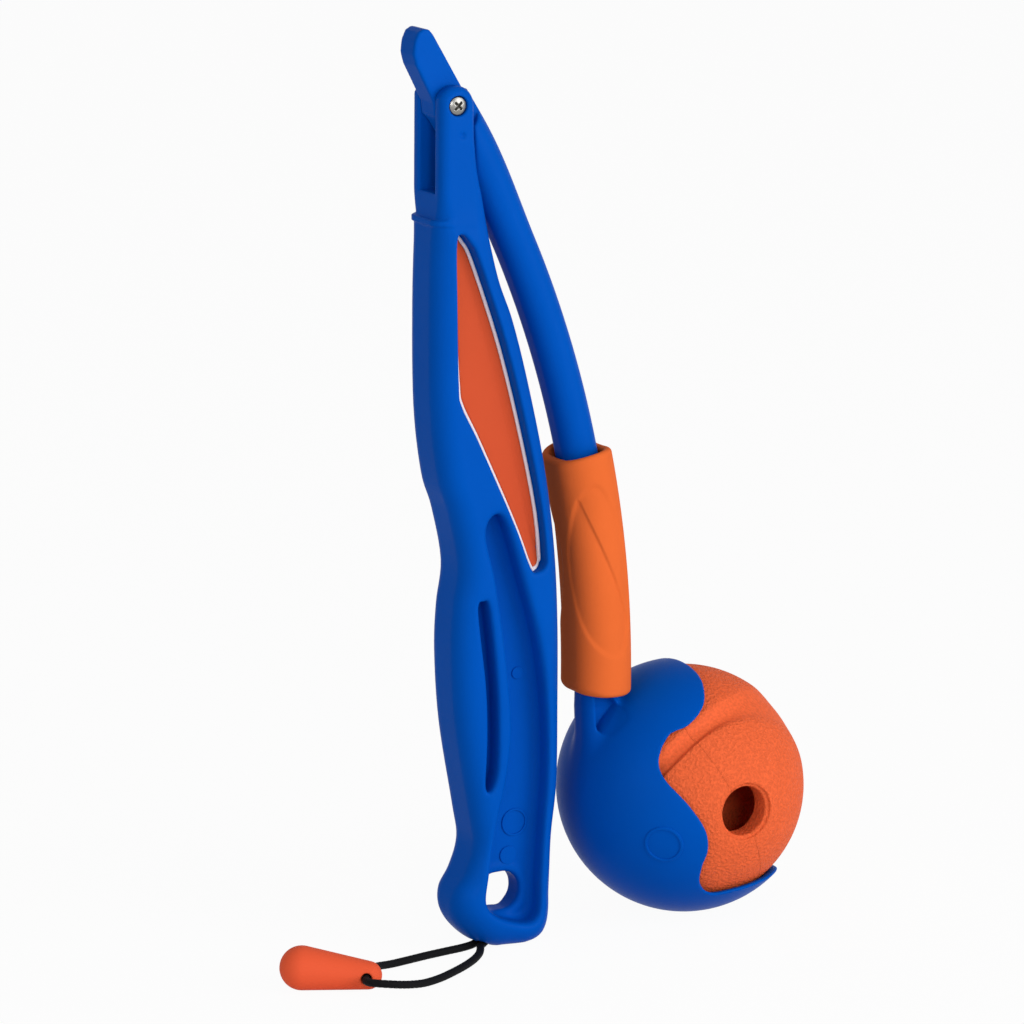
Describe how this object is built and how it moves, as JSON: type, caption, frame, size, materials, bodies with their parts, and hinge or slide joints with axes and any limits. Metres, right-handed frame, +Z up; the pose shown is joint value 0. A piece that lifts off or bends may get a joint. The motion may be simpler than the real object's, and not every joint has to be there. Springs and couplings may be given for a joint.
{
  "type": "dog ball launcher",
  "caption": "Folding ball launcher: moulded grip with a fork, hinged curved arm ending in a snap cup that holds a rubber ball, sliding lock sleeve, and an elastic cord pull.",
  "frame": {"origin": "centre of the flat foot at the butt of the handle, on the surface that the folded launcher stands on", "axes": "+Z up along the standing handle, +X from the handle towards the cup, +Y across the launcher's thickness, away from the side with the screw head"},
  "size_m": [0.1644, 0.067, 0.2568],
  "materials": {
    "blue_plastic": "satin moulded",
    "white_border": "satin",
    "label_orange": "matte",
    "steel": "bright",
    "sleeve_rubber": "matte",
    "ball_rubber": "stippled",
    "cord": "braided",
    "toggle_orange": "matte"
  },
  "bodies": {
    "handle": {"handle_body": "blue_plastic", "label_border_near": "white_border", "label_border_far": "white_border", "label_plate_near": "label_orange", "label_plate_far": "label_orange", "hinge_screw": "steel", "hinge_nut": "steel", "bungee_cord": "cord", "cord_toggle": "toggle_orange", "cord_knot": "cord"},
    "arm": {"throwing_arm": "blue_plastic"},
    "sleeve": {"lock_sleeve": "sleeve_rubber"},
    "ball": {"ball": "ball_rubber"}
  },
  "joints": [
    {"name": "arm_fold", "type": "hinge", "parent": "handle", "child": "arm", "pos_m": [-0.0082, 0, 0.2364], "axis": [0, -1, 0], "range_deg": [0, 147]},
    {"name": "sleeve_slide", "type": "hinge", "parent": "arm", "child": "sleeve", "pos_m": [-0.26411, 0, 0.08566], "axis": [0, -1, 0], "range_deg": [0, 11]},
    {"name": "ball_turn", "type": "hinge", "parent": "arm", "child": "ball", "pos_m": [0.05924, 0, 0.03575], "axis": [0, 1, 0], "continuous": true}
  ]
}
